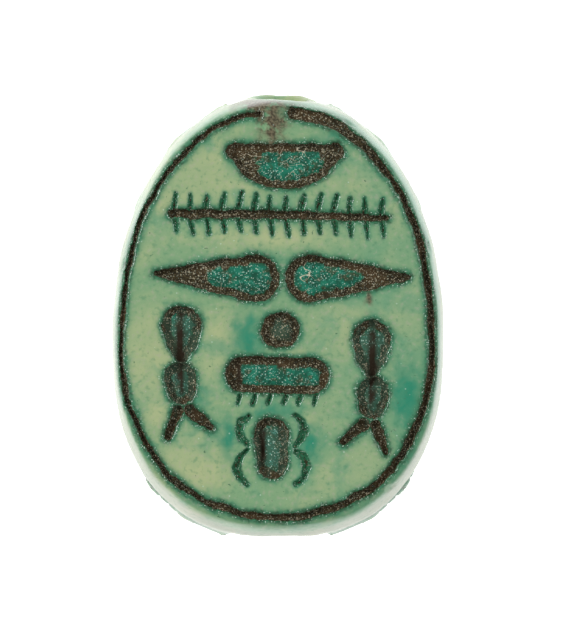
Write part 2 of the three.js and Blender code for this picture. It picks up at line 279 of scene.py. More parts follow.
def object_of(name, shape):
    """A new object of the scene with the mesh of a bmesh, which is used up."""
    mesh = bpy.data.meshes.new(name)
    shape.to_mesh(mesh)
    shape.free()
    piece = bpy.data.objects.new(name, mesh)
    bpy.context.scene.collection.objects.link(piece)
    return piece


rough_lump = object_of("rough_lump", carving)
drill_rod = object_of("drill_rod", drill)
for name in ("grown together", "grown again"):
    skin = rough_lump.modifiers.new(name, "REMESH")
    skin.mode = "VOXEL"
    skin.voxel_size = SKIN_STEP
    if name == "grown together":
        hole = rough_lump.modifiers.new("drilled", "BOOLEAN")
        hole.operation = "DIFFERENCE"
        hole.solver = "EXACT"
        hole.object = drill_rod
bpy.context.view_layer.update()
shaped = rough_lump.evaluated_get(bpy.context.evaluated_depsgraph_get()).to_mesh()
stone = bmesh.new()
stone.from_mesh(shaped)
for scrap in (rough_lump, drill_rod):
    bpy.data.objects.remove(scrap)
bmesh.ops.smooth_vert(
    stone, verts=stone.verts, factor=0.5, use_axis_x=True, use_axis_y=True, use_axis_z=True
)
turned_over = Matrix.Translation((0, 0, HEIGHT)) @ Matrix.Rotation(math.pi, 4, "Y")
bmesh.ops.transform(stone, matrix=turned_over, verts=stone.verts)
stone.normal_update()


def corners(shape):
    return np.array([vert.co for vert in shape.verts]).T


def facing(shape):
    return np.array([vert.normal for vert in shape.verts]).T


def face_centres(faces):
    return np.array([face.calc_center_median() for face in faces]).T


def smooth_step(low, high, value):
    share = np.clip((value - low) / (high - low), 0, 1)
    return share * share * (3 - 2 * share)


def divide_finer(faces, wanted):
    """Halves every edge of the wanted ones of some faces of the stone."""
    picked = {edge for face, take in zip(faces, wanted) if take for edge in face.edges}
    bmesh.ops.subdivide_edges(stone, edges=list(picked), cuts=1, use_grid_fill=True)


def sink(depths):
    """Moves the stone's corners inwards along their normals, each by its own depth."""
    for vert, depth in zip(stone.verts, depths):
        vert.co -= vert.normal * depth


# Each corner of the plain skin keeps how hollow the surface is there, for dirt gathers in the
# hollows and the glaze is rubbed thin on the ridges.
HOLLOW_BLURS = 3
HOLLOW_KEPT = 0.3
HOLLOW_SPREAD = 0.7
edge_ends = np.array([[vert.index for vert in edge.verts] for edge in stone.edges])


def neighbour_mean(values):
    """The mean of a value over the corners next to each corner of the skin."""
    total = np.zeros_like(values)
    count = np.zeros_like(values)
    for near, far in ((0, 1), (1, 0)):
        np.add.at(total, edge_ends[:, near], values[edge_ends[:, far]])
        np.add.at(count, edge_ends[:, near], 1)
    return total / np.maximum(count, 1)


skin_places = corners(stone)
pulled = np.array([neighbour_mean(row) for row in skin_places]) - skin_places
hollowness = (pulled * facing(stone)).sum(axis=0) / SKIN_STEP**2
for _ in range(HOLLOW_BLURS):
    hollowness = HOLLOW_KEPT * hollowness + HOLLOW_SPREAD * neighbour_mean(hollowness)
hollow_layer = stone.verts.layers.float.new("hollow")
for vert, value in zip(stone.verts, hollowness):
    vert[hollow_layer] = value


# The legs are hatched across with the graver on their outer side, for the beetle's hairs. The
# grooves are shallow and even, and fade out clear of the plate.
HATCH_PITCH = 0.42
HATCH_DEPTH = 0.055
HATCH_SLANT = 0.35
LEG_SKIN = 0.16
FAR_OFF = 9.0


def leg_distance(places):
    """How far points are outside the nearest leg bar, and how far along that bar they are."""
    nearest = np.full(places.shape[1], FAR_OFF)
    along_nearest = np.zeros(places.shape[1])
    carved_up = np.array([-places[0], places[1], HEIGHT - places[2]])
    for near, far, near_radius, far_radius in leg_bars:
        bar = np.array(far - near)
        from_near = carved_up - np.array(near)[:, None]
        share = np.clip(bar @ from_near / (bar @ bar), 0, 1)
        away = np.linalg.norm(from_near - bar[:, None] * share, axis=0)
        away -= near_radius + share * (far_radius - near_radius)
        closer = away < nearest
        nearest[closer] = away[closer]
        slant = HATCH_SLANT * (carved_up[2] - near.z)
        along_nearest[closer] = (share * np.linalg.norm(bar) + slant)[closer]
    return nearest, along_nearest


def outer_leg(places):
    """Where on the legs the graver hatched, from 0 to 1, and how far along the leg that is."""
    away, along = leg_distance(places)
    zone = smooth_step(LIP_Z, LIP_Z + 0.2, places[2])
    zone *= 1 - smooth_step(PLATE_Z - 0.6, PLATE_Z - 0.2, places[2])
    return zone * (1 - smooth_step(0.04, LEG_SKIN, away)), along


divide_finer(stone.faces, outer_leg(face_centres(stone.faces))[0] > 0.05)
stone.normal_update()
hatched, along_leg = outer_leg(corners(stone))
groove = smooth_step(0.55, 1.0, np.cos(math.tau * along_leg / HATCH_PITCH))
sink(HATCH_DEPTH * hatched * groove)


# The underside is cut with a graver in generic strokes, no two quite alike: broad ones with a
# trench round a floor that was left standing, and fine ones. A line runs round the edge.
STROKE_DEPTH = 0.32
BORDER_STEPS = 110
BORDER_START = 85
BORDER_SWEEP = 349
BORDER_INSET = (0.47, 0.8, 0.87)
BORDER_ROUNDNESS = (HEAD_ROUNDNESS, 2.2)
BORDER_HALF = 0.105
START_SWELL = 0.14
START_STEPS = 13
LOW_SWELL = 0.03
BOWL = [(-1.6, 6.2), (-0.8, 5.82), (-0.15, 5.66), (0.65, 5.66), (1.3, 5.8), (2.14, 6.18)]
RULE = [(-4.0, 3.86), (0.1, 3.82), (4.1, 3.68)]
LEFT_DROP = [(-0.84, 1.4), (-2.5, 1.48), (-4.6, 1.6)]
RIGHT_DROP = [(1.2, 1.4), (2.9, 1.42), (4.9, 1.45)]
DROP_HALVES = [0.92, 0.6, 0.13]
PIT = [(0.02, -0.57), (0.16, -0.55)]
BAR = [(-1.3, -2.22), (1.25, -2.3)]
OVAL = [(-0.25, -4.5), (-0.22, -5.62)]
BOWS = [(-4.35, 0.88), (-5.75, 0.98)]
COLUMNS = [(-1, -3.65, -0.38), (1, 3.55, -0.92)]
TICK_HALVES = [0.1, 0.045]
RULE_TICKS = 14
RULE_TICK_PITCH = 0.602
RULE_SLOPE = 0.0135
BAR_TICKS = 6
BAR_TICK_PITCH = 0.58
BOW_SWEEP = 1.9
BOW_HALVES = [0.07, 0.11, 0.13, 0.11, 0.07]
BOW_POINTS = len(BOW_HALVES)
broad_gouges = []
fine_gouges = []
tick_gouges = []


def gouge_chain(gouges, points, halves):
    """Adds the pulls of the graver through points, with one half width for each point."""
    stops = [(Vector(point), half) for point, half in zip(points, halves)]
    gouges += [(*near, *far) for near, far in zip(stops, stops[1:])]


gouge_chain(broad_gouges, BOWL, [0.36, 0.72, 0.85, 0.86, 0.74, 0.36])
gouge_chain(fine_gouges, RULE, [0.18, 0.17, 0.13])
for i in range(RULE_TICKS):
    x = -3.95 + RULE_TICK_PITCH * i
    y = 3.86 - RULE_SLOPE * i
    uneven = 0.08 * math.sin(5.1 * i)
    gouge_chain(tick_gouges, [(x, y + 0.1), (x + 0.1 + uneven, y + 0.78 + uneven)], TICK_HALVES)
    gouge_chain(tick_gouges, [(x + 0.05, y - 0.1), (x + 0.12, y - 0.68 + uneven)], TICK_HALVES)
gouge_chain(broad_gouges, LEFT_DROP, DROP_HALVES)
gouge_chain(broad_gouges, RIGHT_DROP, DROP_HALVES)
gouge_chain(broad_gouges, PIT, [0.67, 0.67])
gouge_chain(broad_gouges, BAR, [0.7, 0.7])
for i in range(BAR_TICKS):
    x = -1.45 + BAR_TICK_PITCH * i
    gouge_chain(tick_gouges, [(x, -3.02), (x - 0.1, -3.34)], [0.09, 0.06])
gouge_chain(broad_gouges, OVAL, [0.66, 0.58])
for side in (1, -1):
    for centre_y, radius in BOWS:
        bow = []
        for i in range(BOW_POINTS):
            turn = (i / (BOW_POINTS - 1) - 0.5) * BOW_SWEEP
            x = -0.24 + side * (0.36 + radius * math.cos(turn))
            bow.append((x, centre_y - 0.8 * radius * math.sin(turn)))
        gouge_chain(tick_gouges, bow, BOW_HALVES)
for side, x, y in COLUMNS:
    gouge_chain(broad_gouges, [(x, y), (x, y - 0.55), (x, y - 1.2)], [0.76, 0.6, 0.27])
    gouge_chain(broad_gouges, [(x + 0.05 * side, y - 2.0), (x, y - 2.45)], [0.62, 0.54])
    gouge_chain(fine_gouges, [(x + 0.12 * side, y - 3.2), (x + 0.52 * side, y - 4.2)], [0.21, 0.15])
    gouge_chain(fine_gouges, [(x - 0.3 * side, y - 3.2), (x - 1.08 * side, y - 3.85)], [0.23, 0.17])

at_sides, at_head, at_tail = BORDER_INSET
border_points = []
border_halves = []
for i in range(BORDER_STEPS + 1):
    angle = math.radians(BORDER_START - BORDER_SWEEP * i / BORDER_STEPS)
    lean = 0.05 * math.cos(angle)
    shake = 0.025 * math.sin(9 * angle) + 0.018 * math.sin(23 * angle + 1)
    inset = (at_sides + lean + shake, at_head + shake, at_tail + shake)
    border_points.append(plan_point(angle, inset, BORDER_ROUNDNESS))
    half = BORDER_HALF + 0.02 * math.cos(angle)
    half += LOW_SWELL * max(0, -math.sin(angle))
    half += START_SWELL * max(0, 1 - i / START_STEPS)
    border_halves.append(half + 0.5 * abs(shake))
gouge_chain(fine_gouges, border_points, border_halves)


def waver(x, y, pitch, seed):
    """A smooth uneven field over the plan, from -1 to 1, that repeats nowhere near."""
    total = np.zeros_like(x)
    chooser = np.random.default_rng(seed)
    for _ in range(5):
        heading = chooser.uniform(0, math.tau)
        turn = math.tau / (pitch * chooser.uniform(0.7, 1.5))
        total += np.sin(turn * (x * math.cos(heading) + y * math.sin(heading)) + chooser.uniform(0, 6))
    return total / 3


def gouge_distance(x, y, gouges):
    """How far points of the plan are outside the nearest gouge, less than 0 inside one."""
    x = x + 0.03 * waver(x, y, 0.7, 3) + 0.014 * waver(x, y, 0.2, 5)
    y = y + 0.03 * waver(x, y, 0.8, 4) + 0.014 * waver(x, y, 0.22, 6)
    nearest = np.full(x.shape, FAR_OFF)
    for start, start_half, end, end_half in gouges:
        along = end - start
        share = ((x - start.x) * along.x + (y - start.y) * along.y) / along.length_squared
        share = np.clip(share, 0, 1)
        away = np.hypot(x - start.x - share * along.x, y - start.y - share * along.y)
        nearest = np.minimum(nearest, away - start_half - share * (end_half - start_half))
    return nearest


def cut_distances(x, y, zone):
    """The distances from the broad, fine and tick strokes, where the zone is over 0."""
    strokes = (broad_gouges, fine_gouges, tick_gouges)
    return [np.where(zone > 0, gouge_distance(x, y, gouges), FAR_OFF) for gouges in strokes]


# Where the strokes are, the skin is divided finely enough to carry their edges. A broad stroke's
# floor stands higher than its trench, and the ground slumps a little beside every cut. A ramp is
# where a wall starts and where it ends, inwards from the stroke's edge.
FINER_REACHES = (0.24, 0.085)
FLOOR_RISE = 0.42
FINE_SHARE = 0.85
TICK_SHARE = 0.6
SLUMP_DEPTH = 0.028
SLUMP_REACH = 0.09
GROUND_SINK = 0.02
BROAD_RAMP = (-0.02, 0.14)
FLOOR_RAMP = (0.24, 0.44)
FINE_RAMP = (-0.03, 0.12)
TICK_RAMP = (-0.04, 0.1)
for reach in FINER_REACHES:
    on_underside = [
        face
        for face in stone.faces
        if face.calc_center_median().z > HEIGHT - 0.3 and face.normal.z > 0.5
    ]
    x, y, z = face_centres(on_underside)
    near_cuts = np.abs(cut_distances(x, y, np.ones_like(x))) < reach
    divide_finer(on_underside, np.any(near_cuts, axis=0))

x, y, z = corners(stone)
cut_zone = smooth_step(HEIGHT - 0.5, HEIGHT - 0.4, z)
broad, fine, ticks = cut_distances(x, y, cut_zone)
broad_wall = smooth_step(*BROAD_RAMP, -broad)
broad_floor = smooth_step(*FLOOR_RAMP, -broad)
fine_wall = smooth_step(*FINE_RAMP, -fine)
tick_wall = smooth_step(*TICK_RAMP, -ticks)
tooling = 0.03 * waver(x, y, 0.35, 8) + 0.022 * waver(x, y, 0.16, 9)
depth = STROKE_DEPTH * np.maximum(broad_wall * (1 - FLOOR_RISE * broad_floor), FINE_SHARE * fine_wall)
depth = np.maximum(depth, TICK_SHARE * STROKE_DEPTH * tick_wall)
depth += tooling * np.maximum(broad_wall, 0.5 * fine_wall)
nearest_cut = np.maximum(np.minimum(np.minimum(broad, fine), ticks), 0)
slump = SLUMP_DEPTH * np.exp(-nearest_cut / SLUMP_REACH)
unevenness = 0.014 * waver(x, y, 3.1, 11) + 0.005 * waver(x, y, 0.9, 12)
z = z - cut_zone * (depth + slump + GROUND_SINK + unevenness)
for vert, new_z in zip(stone.verts, z):
    vert.co.z = new_z


# The slanting wall of the plate isn't quite even: the knife left it in long shallow facets, and
# small chips are gone from its edges. A chip has a place and a radius.
FACET_DEPTH = 0.022
FACET_PITCH = 1.9
CHIP_DEPTH = 0.35
CHIPS = [(-6.05, 1.9, 6.9, 0.24), (-5.7, -3.4, 6.95, 0.2), (5.85, 2.6, 6.9, 0.22), (2.75, 7.45, 6.9, 0.26)]
CHIPS += [(-2.4, 7.72, 6.95, 0.24), (4.2, -6.5, 6.95, 0.2), (-6.2, -1.2, 5.6, 0.2), (6.2, -2.3, 5.65, 0.22)]
stone.normal_update()
places = corners(stone)
x, y, z = places
wall = smooth_step(PLATE_Z - 0.1, PLATE_Z + 0.3, z)
wall *= 1 - smooth_step(HEIGHT - 0.35, HEIGHT - 0.1, z)
faceting = wall * (FACET_DEPTH * waver(x + 0.6 * z, y + 0.4 * z, FACET_PITCH, 41) - FACET_DEPTH)
chipping = np.zeros_like(x)
for chip_x, chip_y, chip_z, radius in CHIPS:
    away = np.sqrt((x - chip_x) ** 2 + (y - chip_y) ** 2 + (z - chip_z) ** 2)
    rough = 1 + 0.3 * waver(x + z, y - z, 0.5, 43)
    bite = 1 - smooth_step(0.4, 1.3, away / radius * rough)
    chipping = np.maximum(chipping, CHIP_DEPTH * radius * bite)
sink(chipping - faceting)


# The back carries the beetle's lines: one between the wing cases and the thorax, one between the
# wing cases, and a short notch at each shoulder. Finer ones part the shovel from the brow and the
# brow from the eyes.
BACK_LINE_DEPTH = 0.24
BACK_LINE_HALF = 0.15
HEAD_LINE_HALF = 0.11
SEAM_Y = 0.09 * LENGTH
SEAM_BOW = 0.05 * LENGTH
SEAM_POINTS = 17
ROUND_EYE = [(-0.62, -0.75), (-0.78, 0), (-0.5, 0.72)]
back_gouges = []
seam_points = []
for i in range(SEAM_POINTS):
    share = 2 * i / (SEAM_POINTS - 1) - 1
    seam_points.append((share * WIDTH / 2, SEAM_Y + SEAM_BOW * (share**2 - 0.4)))
gouge_chain(back_gouges, seam_points, [BACK_LINE_HALF] * SEAM_POINTS)
brow_end = 0.82 * SHOVEL_HALF
brow_line = [(-brow_end, BROW_Y + 0.5), (0, BROW_Y + 0.05), (brow_end, BROW_Y + 0.5)]
gouge_chain(back_gouges, brow_line, [HEAD_LINE_HALF] * 3)
gouge_chain(back_gouges, [(0, SEAM_Y - 0.02 * LENGTH), (0, -LENGTH / 2)], [BACK_LINE_HALF] * 2)
for side in (1, -1):
    corner = (side * 0.29 * WIDTH, SEAM_Y - 0.004 * LENGTH)
    tip = (side * 0.25 * WIDTH, SEAM_Y - 0.085 * LENGTH)
    gouge_chain(back_gouges, [corner, tip], [1.6 * BACK_LINE_HALF, 0.5 * BACK_LINE_HALF])
    forehead_line = [(side * 0.4, BROW_Y + 0.3), (side * 0.62, BROW_Y + 1.7)]
    gouge_chain(back_gouges, forehead_line, [HEAD_LINE_HALF] * 2)
    eye_line = [(side * (EYE_X + by_x), EYE_Y + by_y) for by_x, by_y in ROUND_EYE]
    gouge_chain(back_gouges, eye_line, [HEAD_LINE_HALF] * 3)

on_back = [
    face
    for face in stone.faces
    if face.calc_center_median().z < RIM_Z + 0.05 and face.normal.z < -0.08
]
x, y, z = face_centres(on_back)
divide_finer(on_back, gouge_distance(x, y, back_gouges) < 0.12)
stone.normal_update()
x, y, z = corners(stone)
below_rim = (z < RIM_Z + 0.12) & (facing(stone)[2] < -0.05)
line = np.where(below_rim, gouge_distance(x, y, back_gouges), FAR_OFF)
line_wall = smooth_step(-0.06, 0.12, -line)
sink(BACK_LINE_DEPTH * line_wall)


# The glazed stone's look rests on what was cut where, so each corner of the skin keeps how deep
# in a cut it is, how near one, and which spots of pooled, worn or stained glaze it is in. The
# nearness also carries a painted shade under the plate's edge, and the wear a painted pale sheen on
# the plate's slanting wall. A spot is an oval of the plan with a centre and two half widths.
POOLS = [(-1.15, -0.85, 0.75, 1.1), (-0.1, -3.65, 1.1, 0.45), (4.9, -3.1, 0.7, 1.4)]
POOLS += [(2.6, 6.75, 1.1, 0.4), (1.2, -4.9, 0.5, 0.9), (-1.9, -4.6, 0.4, 0.8), (-3.3, -3.1, 0.7, 0.5)]
WARM_SPOTS = [(1.15, -1.36, 0.8, 0.2), (1.2, -4.0, 0.35, 0.35), (-4.6, 4.2, 0.8, 0.8), (-2.2, -1.0, 0.7, 1.2)]
WARM_SPOTS += [(-4.6, -3.2, 0.5, 1.6), (-2.9, -6.0, 1.2, 0.7), (2.6, -0.6, 0.5, 1.0), (4.4, 4.2, 0.6, 1.1)]
WARM_SPOTS += [(-0.4, 2.95, 3.0, 0.45), (3.4, 5.2, 0.9, 0.6), (-1.3, 4.9, 1.6, 0.35)]
STAINS = [(-0.25, 7.3, 0.6, 1.0), (-0.65, 8.0, 1.2, 0.3), (3.43, 0.58, 0.14, 0.46)]
DUSTED = [(-1.35, 6.0, 0.85, 0.9), (2.0, 6.1, 0.5, 0.6), (0.05, -0.45, 0.5, 0.62), (0.35, -1.75, 1.1, 0.3)]
DUSTED += [(-1.6, -2.2, 0.3, 0.7), (-3.3, 1.55, 0.7, 0.5), (3.9, 1.45, 0.8, 0.5)]
# Listed channels in some broad strokes, which are painted a smooth dark brown without glints.
DARK_CHANNELS = [(-3.7, -1.1, 0.2, 1.1), (-3.66, -2.5, 0.14, 0.6), (3.58, -1.6, 0.22, 1.0)]
DARK_CHANNELS += [(3.55, -2.9, 0.14, 0.6), (-0.58, -4.95, 0.12, 0.8), (-1.5, -2.3, 0.1, 0.5)]
DULL_FLOORS = [(-3.65, -1.5, 0.9, 1.9), (3.55, -2.0, 0.9, 1.9), (-0.25, -5.05, 0.7, 1.0)]
DULL_FLOORS += [(0.16, -0.6, 0.42, 0.42)]
LINTY = [(0.2, 6.0, 2.1, 0.9), (-2.7, 1.5, 1.2, 0.6), (0.9, 1.4, 0.5, 0.6), (1.6, 3.8, 0.9, 0.4)]
CLEAN_MOUTH = [(0.2, 8.5, 2.2, 1.1)]
HALO_REACH = 0.19
TICK_HALO_SHARE = 2.2
LINE_HALO_REACH = 0.12
EDGE_SHADE_REACH = 0.07
MEAN_ROUNDNESS = 2.2


def spot_field(x, y, spots, low=0.35, high=1.35):
    """How far points of the plan are in any of some soft oval spots, from 0 to 1."""
    field = np.zeros_like(x)
    for centre_x, centre_y, half_x, half_y in spots:
        away = np.hypot((x - centre_x) / half_x, (y - centre_y) / half_y)
        away += 0.12 * waver(x, y, 0.22, 22)
        field = np.maximum(field, 1 - smooth_step(low, high, away + 0.25 * waver(x, y, 0.6, 21)))
    return field


def share_of_egg(x, y, roundness):
    """How far out points of the plan are, from 0 in the middle to 1 at the egg's outline."""
    across = np.abs(2 * x / WIDTH)
    along = np.abs((y - WIDEST_Y) / np.where(y > WIDEST_Y, HEAD_REACH, TAIL_REACH))
    return (across**roundness + along**roundness) ** (1 / roundness)


places = corners(stone)
x, y, z = places
underside = smooth_step(HEIGHT - 1.0, HEIGHT - 0.7, z)
whole_plate = smooth_step(PLATE_Z - 0.1, PLATE_Z + 0.4, z)
broad, fine, ticks = cut_distances(x, y, underside)
cut = np.maximum(np.minimum(np.minimum(broad, fine), TICK_HALO_SHARE * ticks), 0)
cut_halo = np.exp(-cut / HALO_REACH) * underside
line_halo = 0.7 * np.exp(-np.maximum(line, 0) / LINE_HALO_REACH)
inside = np.maximum(smooth_step(-0.04, 0.07, -broad), smooth_step(-0.04, 0.07, -fine))
in_tick = smooth_step(-0.03, 0.05, -ticks)
ragged = 0.05 * waver(x, y, 0.5, 31) + 0.025 * waver(x, y, 0.2, 32)
floor = smooth_step(0.27, 0.4, ragged - broad) * (1 - 0.9 * spot_field(x, y, DUSTED, 0.6, 1.15))
leg_gap = leg_distance(places)[0]
flank = smooth_step(RIM_Z, LIP_Z, z)
flank *= 1 - smooth_step(PLATE_Z - 0.05, PLATE_Z + 0.1, z)
flank_grime = 0.85 * flank * smooth_step(0.02, 0.25, leg_gap)
hatched, along_leg = outer_leg(places)
groove = smooth_step(0.3, 1.0, np.cos(math.tau * along_leg / HATCH_PITCH))
hollow = np.array([vert[hollow_layer] for vert in stone.verts])
soiled_mouth = 1 - spot_field(x, y, CLEAN_MOUTH, 0.7, 1.0)
hollow_grime = smooth_step(0.3, 1.2, hollow)
egg_share = share_of_egg(x, y, MEAN_ROUNDNESS)
outer_band = smooth_step(0.88, 0.96, egg_share) * smooth_step(-7.0, 5.0, x + 0.3 * y)
plate_share = share_of_egg(x, y, np.where(y > WIDEST_Y, HEAD_ROUNDNESS, TAIL_ROUNDNESS))
# The outer ring of the plate and its slanting wall, where a pale sheen is painted.
wall_sheen_zone = whole_plate * smooth_step(0.955, 0.985, egg_share)
# Just beyond and below the plate's edge at the tail end, a dark green shade is painted on the legs and flank
# through the near field.
off_plate = np.hypot(x, y - WIDEST_Y) * np.abs(plate_share - 1)
shade_under_plate_edge = (1 - whole_plate) * (z > RIM_Z) * np.exp(-off_plate / EDGE_SHADE_REACH)
shade_under_plate_edge *= 0.8 * smooth_step(3.8, 5.2, -y)
fields = {
    "dirt": np.maximum.reduce([inside * (1 - floor), line_wall, 0.42 * in_tick]),
    "floor": floor,
    # The near field is nearness to the cuts and lines, with the painted shade under the plate's edge.
    "near": np.maximum.reduce([cut_halo, line_halo, shade_under_plate_edge]),
    "pool": np.maximum(spot_field(x, y, POOLS, 0.1, 1.5), 0.6 * outer_band) * underside,
    "warm": spot_field(x, y, WARM_SPOTS, 0.1, 1.6) * underside,
    "stain": spot_field(x, y, STAINS) * whole_plate,
    "dark_channel": spot_field(x, y, DARK_CHANNELS, 0.6, 1.35) * smooth_step(0.0, 0.1, -broad),
    "dull": spot_field(x, y, DULL_FLOORS, 0.8, 1.1) * underside,
    "grime": soiled_mouth * np.maximum.reduce([hollow_grime, flank_grime, 0.75 * hatched * groove]),
    "tick": in_tick,
    "lint": spot_field(x, y, LINTY, 0.8, 1.1) * underside,
    # Rubbed glaze on the back's ridges, and a painted pale sheen on the plate's slanting wall.
    "worn_and_wall_sheen": np.maximum(smooth_step(0.5, 2.2, -hollow) * (1 - underside), 0.62 * wall_sheen_zone),
}

stone.transform(Matrix.Scale(0.001, 4))
scarab = object_of("scarab_carving", stone)
for name, values in fields.items():
    layer = scarab.data.attributes.new(name, "FLOAT", "POINT")
    layer.data.foreach_set("value", values.astype(np.float32))
scarab.data.shade_smooth()


# The glaze is a pale sage green, mottled with cream and turquoise. It ran off the high places and
# pooled darker in and beside the cuts, which hold brown dirt and pale lint. Bright specks in the
# dirt, on the floors and beside the cuts are painted glints, and a pale sheen on the plate's wall
# and a shade under the plate's edge are painted too.
SAGE = (0.215, 0.385, 0.195, 1)
CREAM = (0.415, 0.49, 0.245, 1)
SEA_GREEN = (0.13, 0.335, 0.185, 1)
HALO_GREEN = (0.045, 0.225, 0.115, 1)
POOL_TEAL = (0.014, 0.245, 0.14, 1)
EDGE_GREEN = (0.01, 0.08, 0.03, 1)
FLECK_GREEN = (0.045, 0.14, 0.065, 1)
FLOOR_TEAL = (0.013, 0.185, 0.112, 1)
FLOOR_DARK = (0.01, 0.085, 0.05, 1)
FLOOR_DULL = (0.045, 0.13, 0.085, 1)
DIRT_DARK = (0.024, 0.019, 0.008, 1)
DIRT_LIGHT = (0.078, 0.062, 0.027, 1)
DIRT_RUST = (0.085, 0.05, 0.021, 1)
CHANNEL_DARK_BROWN = (0.021, 0.013, 0.005, 1)
STAIN_DARK = (0.055, 0.042, 0.02, 1)
STAIN_BROWN = (0.16, 0.135, 0.075, 1)
# Pale rubbed glaze, also used as the painted sheen on the plate's slanting wall.
RUBBED_PALE_AND_SHEEN = (0.44, 0.42, 0.33, 1)
# Colours of the painted glints on the grit.
TAN_GLINT = (0.6, 0.54, 0.38, 1)
PALE_GLINT = (0.62, 0.8, 0.66, 1)
TEAL_GLINT = (0.16, 0.5, 0.4, 1)
LINT_PALE = (0.72, 0.65, 0.48, 1)
GRAIN_RELIEF = 0.00006


def add_node(tree, kind, inputs, **settings):
    """Adds a node, makes its settings, and links or sets the inputs that are given."""
    node = tree.nodes.new(kind)
    for name, value in settings.items():
        setattr(node, name, value)
    for name, value in inputs.items():
        if isinstance(value, bpy.types.NodeSocket):
            tree.links.new(value, node.inputs[name])
        else:
            node.inputs[name].default_value = value
    return node


def mix_colour(tree, amount, low, high):
    node = add_node(tree, "ShaderNodeMix", {0: amount, 6: low, 7: high}, data_type="RGBA")
    return node.outputs[2]


def calculate(tree, operation, *values):
    node = add_node(tree, "ShaderNodeMath", dict(enumerate(values)), operation=operation)
    return node.outputs[0]


def product(tree, first, *others):
    """Multiplies the values, one node for each after the first."""
    total = first
    for other in others:
        total = calculate(tree, "MULTIPLY", total, other)
    return total


def step_between(tree, value, low, high, to_low=0.0, to_high=1.0):
    inputs = {0: value, 1: low, 2: high, 3: to_low, 4: to_high}
    node = add_node(tree, "ShaderNodeMapRange", inputs, interpolation_type="SMOOTHSTEP")
    return node.outputs[0]


def noise_value(tree, place, scale, detail=2.0, distortion=0.0):
    inputs = {"Vector": place, "Scale": scale, "Detail": detail, "Distortion": distortion}
    return add_node(tree, "ShaderNodeTexNoise", inputs).outputs["Fac"]


def field_value(tree, name):
    return add_node(tree, "ShaderNodeAttribute", {}, attribute_name=name).outputs["Fac"]


def scattered_glint_dots(tree, place, scale, rarest, size):
    """Small bright dots painted as glints of grit: a voronoi pattern of which only some cells show, each as a
    dot.
    """
    cells = add_node(tree, "ShaderNodeTexVoronoi", {"Vector": place, "Scale": scale})
    pick = add_node(tree, "ShaderNodeSeparateColor", {0: cells.outputs["Color"]}).outputs[0]
    dot = step_between(tree, cells.outputs["Distance"], 0.6 * size, size, 1.0, 0.0)
    return product(tree, dot, step_between(tree, pick, rarest, rarest + 0.08))


glaze = bpy.data.materials.new("green_glaze")
glaze.use_nodes = True
tree = glaze.node_tree
shader = tree.nodes["Principled BSDF"]
place = add_node(tree, "ShaderNodeTexCoord", {}).outputs["Object"]
in_mm = {0: place, "Scale": 1000.0}
place = add_node(tree, "ShaderNodeVectorMath", in_mm, operation="SCALE").outputs[0]
# The near field also carries the painted shade under the plate's edge.
near = field_value(tree, "near")
dark_channel = field_value(tree, "dark_channel")
crumble = noise_value(tree, place, 11.0, 3.0)
fuzz = calculate(tree, "MULTIPLY_ADD", noise_value(tree, place, 7.0, 4.0), 1.4, -0.7)
dirt = calculate(tree, "ADD", field_value(tree, "dirt"), fuzz)
dirt = step_between(tree, dirt, 0.35, 0.65)
floor = calculate(tree, "ADD", field_value(tree, "floor"), fuzz)
floor = step_between(tree, floor, 0.3, 0.7)
crumbs = step_between(tree, noise_value(tree, place, 3.4, 5.0), 0.52, 0.62, 1.0, 0.25)
floor = product(tree, floor, crumbs)
strewn = product(tree, field_value(tree, "floor"), calculate(tree, "SUBTRACT", 1.0, crumbs))
dirt = calculate(tree, "MAXIMUM", dirt, strewn)

mottling = noise_value(tree, place, 0.36, 4.0, 0.5)
patches = noise_value(tree, place, 0.75, 4.0, 0.6)
cream_amount = step_between(tree, mottling, 0.4, 0.68, 0.0, 0.85)
cream_amount = calculate(tree, "MAXIMUM", cream_amount, field_value(tree, "warm"))
colour = mix_colour(tree, cream_amount, SAGE, CREAM)
colour = mix_colour(tree, step_between(tree, patches, 0.48, 0.72, 0.0, 0.75), colour, SEA_GREEN)
across = add_node(tree, "ShaderNodeSeparateXYZ", {0: place}).outputs[0]
green_side = product(tree, step_between(tree, across, -1.5, 5.5, 0.0, 0.75), patches)
colour = mix_colour(tree, green_side, colour, SEA_GREEN)
pool_amount = step_between(tree, patches, 0.25, 0.55, 0.6, 1.0)
pool_amount = product(tree, field_value(tree, "pool"), pool_amount)
colour = mix_colour(tree, pool_amount, colour, POOL_TEAL)
# Rubbed pale glaze on the back's ridges, and a painted pale sheen on the plate's slanting wall.
colour = mix_colour(tree, field_value(tree, "worn_and_wall_sheen"), colour, RUBBED_PALE_AND_SHEEN)
# Halo green beside the cuts and lines, which also paints the shade under the plate's edge.
halo_amount = step_between(tree, near, 0.1, 0.68)
halo_amount = product(tree, halo_amount, step_between(tree, patches, 0.3, 0.65, 0.55, 1.0))
colour = mix_colour(tree, halo_amount, colour, HALO_GREEN)
grit = noise_value(tree, place, 5.0, 6.0)
colour = mix_colour(tree, step_between(tree, grit, 0.52, 0.72, 0.0, 0.4), colour, HALO_GREEN)
off_pools = calculate(tree, "SUBTRACT", 1.0, pool_amount)
pale_grit = product(tree, step_between(tree, grit, 0.48, 0.3, 0.0, 0.3), off_pools)
colour = mix_colour(tree, pale_grit, colour, RUBBED_PALE_AND_SHEEN)
flecks = noise_value(tree, place, 6.5, 2.0, 0.6)
colour = mix_colour(tree, step_between(tree, flecks, 0.71, 0.77, 0.0, 0.8), colour, FLECK_GREEN)
